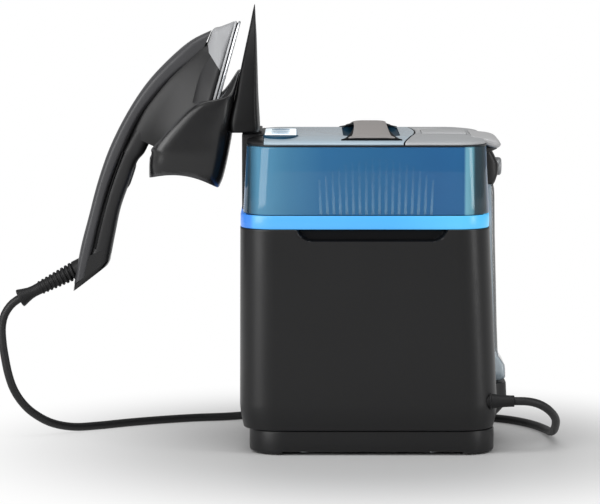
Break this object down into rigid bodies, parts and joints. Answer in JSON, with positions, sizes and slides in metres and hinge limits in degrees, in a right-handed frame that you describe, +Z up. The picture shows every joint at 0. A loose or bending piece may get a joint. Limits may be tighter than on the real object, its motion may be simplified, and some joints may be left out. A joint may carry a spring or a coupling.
{
  "type": "steam generator iron",
  "caption": "Cube-shaped steam generator base with a drawer water tank, an upright rest and a small steam iron parked nose-up in its holster on a hose.",
  "frame": {"origin": "under the middle of the whole object, free hose left out, on the surface it stands on", "axes": "+X towards the tank's grip, -X towards the handset, +Z up"},
  "size_m": [0.5083, 0.2917, 0.396],
  "materials": {
    "casing": "satin near-black moulding",
    "soft_black": "matt black",
    "inner_black": "matt black inside part",
    "rubber": "matt black rubber",
    "light_guide": "lit blue light guide",
    "tank_blue": "clear blue plastic",
    "deck": "glossy blue-grey",
    "silver": "silver-grey satin",
    "strap": "soft grey strap",
    "panel": "lit white-blue panel",
    "button": "blue-grey keys",
    "steel": "steel",
    "aluminium": "cast aluminium",
    "brass": "brass",
    "board": "green board",
    "silicone": "milky silicone tube"
  },
  "bodies": {
    "base": {"base_shell": "casing", "base_plinth": "casing", "foot_1": "rubber", "foot_2": "rubber", "foot_3": "rubber", "foot_4": "rubber", "plinth_screw_1": "steel", "plinth_screw_2": "steel", "plinth_screw_3": "steel", "plinth_screw_4": "steel", "light_band": "light_guide", "bay_plate": "inner_black", "boiler": "aluminium", "boiler_heater": "steel", "boiler_stand": "steel", "pump": "soft_black", "steam_valve": "brass", "control_board": "board", "tank_coupling": "soft_black", "suction_tube": "silicone", "feed_tube": "silicone", "steam_pipe": "silicone", "hose_gland": "rubber", "mains_gland": "rubber", "neck_column": "casing", "deck_cover": "deck", "control_panel": "panel", "carry_strap": "strap", "rest_plate": "casing", "rest_foot": "casing", "rest_holster": "casing", "hose_lower": "rubber", "hose_coil": "rubber", "hose_upper": "rubber"},
    "tank": {"tank_shell": "tank_blue", "outlet_valve": "soft_black", "tank_lid": "silver", "flap_pin": "steel", "tank_grip": "silver", "latch_housing": "soft_black", "latch_spring": "steel"},
    "flap": {"fill_flap": "silver"},
    "latch": {"latch_knob": "silver"},
    "power_key": {"power_button": "button"},
    "steam_key": {"steam_button": "button"},
    "eco_key": {"eco_button": "button"},
    "handset": {"soleplate": "steel", "heat_skirt": "silver", "steam_chamber": "aluminium", "head_shell": "casing", "nose_panel": "silver", "spine_cover": "soft_black", "hand_grip": "casing", "trigger_pin": "steel", "hose_boot": "rubber", "rear_cap": "soft_black", "micro_switch": "inner_black", "trigger_spring": "steel", "handset_tube": "silicone"},
    "trigger": {"steam_trigger": "soft_black"}
  },
  "joints": [
    {"name": "handset_lift", "type": "slide", "parent": "base", "child": "handset", "axis": [0.2672, 0, 0.9636], "range_m": [0, 0.11]},
    {"name": "steam_trigger_pull", "type": "hinge", "parent": "handset", "child": "trigger", "pos_m": [-0.11727, 0, 0.25199], "axis": [0, 1, 0], "range_deg": [0, 6], "stiffness_Nm_per_rad": 0.5, "springref_deg": -2.86},
    {"name": "tank_slide", "type": "slide", "parent": "base", "child": "tank", "axis": [1, 0, 0], "range_m": [0, 0.2]},
    {"name": "flap_open", "type": "hinge", "parent": "tank", "child": "flap", "pos_m": [0.17864, 0, 0.2796], "axis": [0, 1, 0], "range_deg": [0, 75]},
    {"name": "latch_push", "type": "slide", "parent": "tank", "child": "latch", "axis": [-1, 0, 0], "range_m": [0, 0.0012], "stiffness_N_per_m": 600, "springref_m": -0.0005},
    {"name": "power_press", "type": "slide", "parent": "base", "child": "power_key", "axis": [0, 0, -1], "range_m": [0, 0.0012], "stiffness_N_per_m": 400, "springref_m": -0.0005},
    {"name": "steam_press", "type": "slide", "parent": "base", "child": "steam_key", "axis": [0, 0, -1], "range_m": [0, 0.0012], "stiffness_N_per_m": 400, "springref_m": -0.0005},
    {"name": "eco_press", "type": "slide", "parent": "base", "child": "eco_key", "axis": [0, 0, -1], "range_m": [0, 0.0012], "stiffness_N_per_m": 400, "springref_m": -0.0005}
  ]
}
